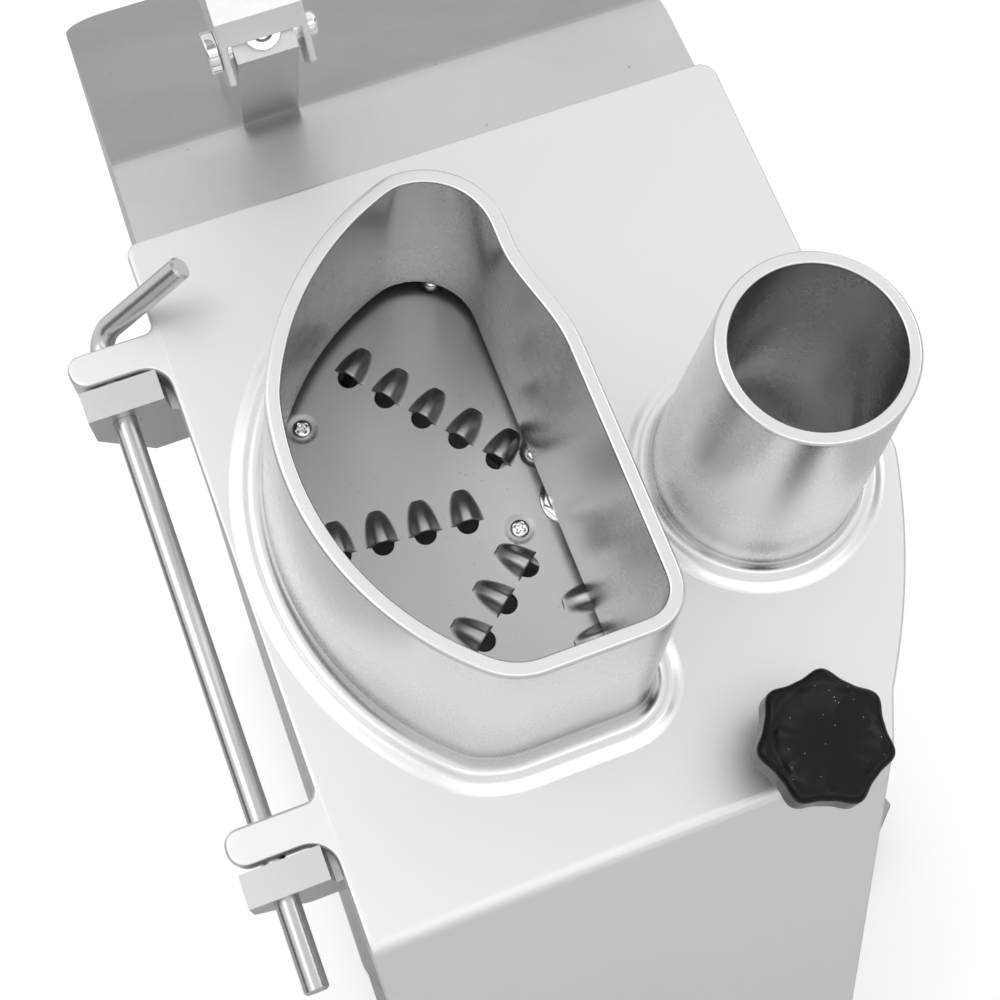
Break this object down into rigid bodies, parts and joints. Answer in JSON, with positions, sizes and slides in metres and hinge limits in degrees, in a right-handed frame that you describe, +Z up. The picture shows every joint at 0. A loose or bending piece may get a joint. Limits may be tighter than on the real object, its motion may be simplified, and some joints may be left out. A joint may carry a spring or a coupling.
{
  "type": "vegetable cutting machine",
  "caption": "Bench vegetable cutter: cast body with a sloping hinged lid, a large hopper with a lever pusher, a round feed tube, a shredding disc, belt drive and motor.",
  "frame": {"origin": "middle of the bounding box at the underside of the feet", "axes": "+X right seen from the front, +Y to the rear, +Z up; the lid slopes down towards -Y"},
  "size_m": [0.2656, 0.4886, 0.7491],
  "materials": {
    "lid_casting": "satin, polished hopper and tube",
    "body_casting": "satin cast",
    "inner_casting": "as cast",
    "pusher_casting": "satin cast",
    "stainless_bar": "bright drawn",
    "disc_steel": "satin rolled sheet",
    "lever_steel": "brushed sheet",
    "stud_steel": "machined",
    "screw_steel": "bright plated",
    "knob_plastic": "gloss",
    "black_plastic": "matte",
    "green_plastic": "gloss",
    "red_plastic": "gloss",
    "grey_plastic": "matte",
    "ejector_plastic": "matte",
    "black_rubber": "matte",
    "motor_paint": "satin",
    "bracket_paint": "satin"
  },
  "bodies": {
    "housing": {"main_casting": "body_casting", "pivot_pin": "screw_steel", "stop_screw": "screw_steel", "upper_bearing": "stud_steel", "lower_bearing": "stud_steel", "bearing_spacer": "stud_steel", "shaft_seal": "black_rubber", "motor_stator": "motor_paint", "motor_front_bell": "inner_casting", "motor_rear_bell": "inner_casting", "motor_bracket": "bracket_paint", "bracket_bolts": "screw_steel", "base_plate": "disc_steel", "front_left_foot": "black_rubber", "front_right_foot": "black_rubber", "rear_left_foot": "black_rubber", "rear_right_foot": "black_rubber", "rear_cover": "disc_steel", "rear_cover_screws": "screw_steel", "cable_gland": "black_plastic", "switch_panel": "black_plastic", "switch_block": "black_plastic", "run_capacitor": "grey_plastic", "terminal_block": "grey_plastic", "drive_belt": "black_rubber"},
    "lid": {"lid": "lid_casting"},
    "hinge_rod": {"hinge_pin": "stainless_bar"},
    "knob": {"lock_knob": "knob_plastic", "knob_stud": "stud_steel"},
    "rotor": {"shredding_plate": "disc_steel", "disc_carrier": "inner_casting", "disc_screws": "screw_steel", "drive_shaft": "stud_steel", "disc_nut": "screw_steel", "ejector_plate": "ejector_plastic", "large_pulley": "inner_casting"},
    "motor_rotor": {"motor_shaft": "stud_steel", "motor_pulley": "stud_steel"},
    "lever": {"lever_arm": "lever_steel", "pusher": "pusher_casting", "stem_screws": "screw_steel", "lever_grip": "knob_plastic"},
    "start": {"start_button": "green_plastic"},
    "stop": {"stop_button": "red_plastic"}
  },
  "joints": [
    {"name": "lid_hinge", "type": "hinge", "parent": "housing", "child": "lid", "pos_m": [-0.12035, -0.11686, 0.25387], "axis": [0, -0.766, -0.6428], "range_deg": [0, 110]},
    {"name": "hinge_pin_slide", "type": "slide", "parent": "lid", "child": "hinge_rod", "axis": [0, 0.766, 0.6428], "range_m": [0, 0.22]},
    {"name": "knob_turn", "type": "hinge", "parent": "lid", "child": "knob", "pos_m": [0.04615, -0.20856, 0.18737], "axis": [0, -0.6428, 0.766], "continuous": true},
    {"name": "disc_spin", "type": "hinge", "parent": "housing", "child": "rotor", "pos_m": [0.01315, -0.10272, 0.23702], "axis": [0, -0.6428, 0.766], "continuous": true},
    {"name": "motor_spin", "type": "hinge", "parent": "housing", "child": "motor_rotor", "pos_m": [0.01315, 0.06498, 0.24719], "axis": [0, -0.6428, 0.766], "continuous": true},
    {"name": "lever_swing", "type": "hinge", "parent": "housing", "child": "lever", "pos_m": [-0.03685, -0.02484, 0.39701], "axis": [1, 0, 0], "range_deg": [0, 106]},
    {"name": "start_press", "type": "slide", "parent": "housing", "child": "start", "axis": [-0.9993, 0, -0.0366], "range_m": [0, 0.0015], "stiffness_N_per_m": 800, "springref_m": -0.002},
    {"name": "stop_press", "type": "slide", "parent": "housing", "child": "stop", "axis": [-0.9993, 0, -0.0366], "range_m": [0, 0.003], "stiffness_N_per_m": 800, "springref_m": -0.002}
  ],
  "couplings": [
    {"joint": "motor_spin", "follows": "disc_spin", "ratio": 4.8462}
  ]
}
